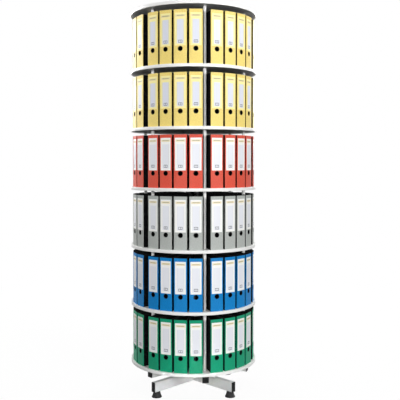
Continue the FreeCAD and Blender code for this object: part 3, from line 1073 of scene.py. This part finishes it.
class FILING_OT_studio(PieceOperator, bpy.types.Operator):
    """Pale floor, soft studio light and the camera"""
    bl_idname = "filing.studio"
    bl_label = "Studio"

    def execute(self, context):
        self.floor()
        self.world()
        self.lamps()
        self.camera()
        return {"FINISHED"}

    def floor(self):
        bm = bmesh.new()
        bmesh.ops.create_circle(bm, cap_ends=True, segments=FLOOR_STEPS, radius=FLOOR_RADIUS)
        bmesh.ops.translate(bm, verts=bm.verts, vec=(0, 0, -FLOOR_DROP))
        mesh = bpy.data.meshes.new("studio_floor")
        bm.to_mesh(mesh)
        bm.free()
        mesh.materials.append(self.floor_paper())
        floor = bpy.data.objects.new("studio_floor", mesh)
        bpy.context.scene.collection.objects.link(floor)

    def floor_paper(self):
        """Seamless white backdrop paper, matt: plain white to the eye, with the object's soft shadow.

        Only the background is that white; the light it throws up at the object is that of a dark floor.
        """
        material, tree, shader, place = surface("backdrop_paper", {"Roughness": 0.95, "IOR": 1.4})
        seen = background_rays(tree)
        tone = add_node(tree, "ShaderNodeMix", {"data_type": "RGBA", 6: linear("#404040"),
                                                7: linear("#FCFCFC")}, {0: seen})
        tree.links.new(tone.outputs[2], shader.inputs["Base Color"])
        grained(tree, shader, place, 4 * MM, 0.05 * MM, 2.0)
        glow = add_node(tree, "ShaderNodeEmission", {"Color": (1, 1, 1, 1), "Strength": 1.0})
        # painted glow, whiter with distance from the object, melts the floor's far edge into the backdrop
        distance = add_node(tree, "ShaderNodeVectorMath", {"operation": "LENGTH"}, {0: place})
        white = add_node(tree, "ShaderNodeMapRange", {"From Min": 1.0, "From Max": 4.0, "To Min": 0.95,
                                                      "To Max": 1.0}, {"Value": distance.outputs["Value"]})
        share = add_node(tree, "ShaderNodeMath", {"operation": "MULTIPLY"}, {0: seen, 1: white.outputs[0]})
        mix = add_node(tree, "ShaderNodeMixShader", links={0: share.outputs[0],
                                                           1: shader.outputs[0], 2: glow.outputs[0]})
        tree.links.new(mix.outputs[0], tree.nodes["Material Output"].inputs["Surface"])
        return material

    def world(self):
        world = bpy.data.worlds.new("studio")
        world.use_nodes = True
        tree = world.node_tree
        tree.nodes.clear()
        ambient = add_node(tree, "ShaderNodeBackground", {"Color": linear("#F4F6FA"), "Strength": 0.08})
        white = add_node(tree, "ShaderNodeBackground", {"Color": (1, 1, 1, 1), "Strength": 1.0})
        mix = add_node(tree, "ShaderNodeMixShader", links={0: background_rays(tree),
                                                           1: ambient.outputs[0], 2: white.outputs[0]})
        output = add_node(tree, "ShaderNodeOutputWorld")
        tree.links.new(mix.outputs[0], output.inputs["Surface"])
        bpy.context.scene.world = world

    def lamps(self):
        """Two broad keys in front, weak fills beside the top, two lamps behind, one above, one low."""
        for name, place, target, size, power, spread in LAMPS:
            lamp = bpy.data.lights.new(name, "AREA")
            lamp.size = size
            lamp.energy = power
            lamp.spread = math.radians(spread)
            light = bpy.data.objects.new(name, lamp)
            light.location = place
            aim = Vector(target) - Vector(place)
            light.rotation_euler = aim.to_track_quat("-Z", "Y").to_euler()
            bpy.context.scene.collection.objects.link(light)

    def camera(self):
        """Stands 4.4 m in front at shoulder height and looks a little down and right."""
        lens = bpy.data.cameras.new("camera")
        lens.sensor_width = 36.0
        lens.lens = 60.7
        lens.shift_y = -0.05
        lens.clip_end = 100.0
        camera = bpy.data.objects.new("camera", lens)
        camera.location = CAMERA_PLACE
        camera.rotation_euler = (math.pi / 2 - CAMERA_DOWN, 0.0, -CAMERA_RIGHT)
        bpy.context.scene.collection.objects.link(camera)
        bpy.context.scene.camera = camera
        bpy.context.scene.view_settings.view_transform = "Standard"


OPERATORS = [
    FILING_OT_cross_foot, FILING_OT_end_caps, FILING_OT_levelling_feet, FILING_OT_pivot,
    FILING_OT_star_frame, FILING_OT_shelves, FILING_OT_posts, FILING_OT_files, FILING_OT_mechanisms,
    FILING_OT_studio,
]


class FILING_PT_panel(bpy.types.Panel):
    """Lists the pieces of the cabinet, with the sizes and colours that shape them"""
    bl_idname = "FILING_PT_panel"
    bl_label = "Rotary filing cabinet"
    bl_space_type = "VIEW_3D"
    bl_region_type = "UI"
    bl_category = "Filing"

    def draw(self, context):
        layout = self.layout
        for operator in OPERATORS:
            layout.operator(operator.bl_idname)
        for group in (context.scene.filing_frame, context.scene.filing_files, context.scene.filing_finishes):
            column = layout.column(align=True)
            for name in group.__annotations__:
                column.prop(group, name)


GROUPS = {"filing_frame": FrameSizes, "filing_files": FileSizes, "filing_finishes": Finishes}
CLASSES = list(GROUPS.values()) + OPERATORS + [FILING_PT_panel]


def register():
    for cls in CLASSES:
        bpy.utils.register_class(cls)
    for name, group in GROUPS.items():
        setattr(bpy.types.Scene, name, PointerProperty(type=group))


def unregister():
    for name in GROUPS:
        delattr(bpy.types.Scene, name)
    for cls in reversed(CLASSES):
        bpy.utils.unregister_class(cls)


def main():
    register()
    for operator in OPERATORS:
        group, name = operator.bl_idname.split(".")
        getattr(getattr(bpy.ops, group), name)()


if __name__ == "__main__":
    main()
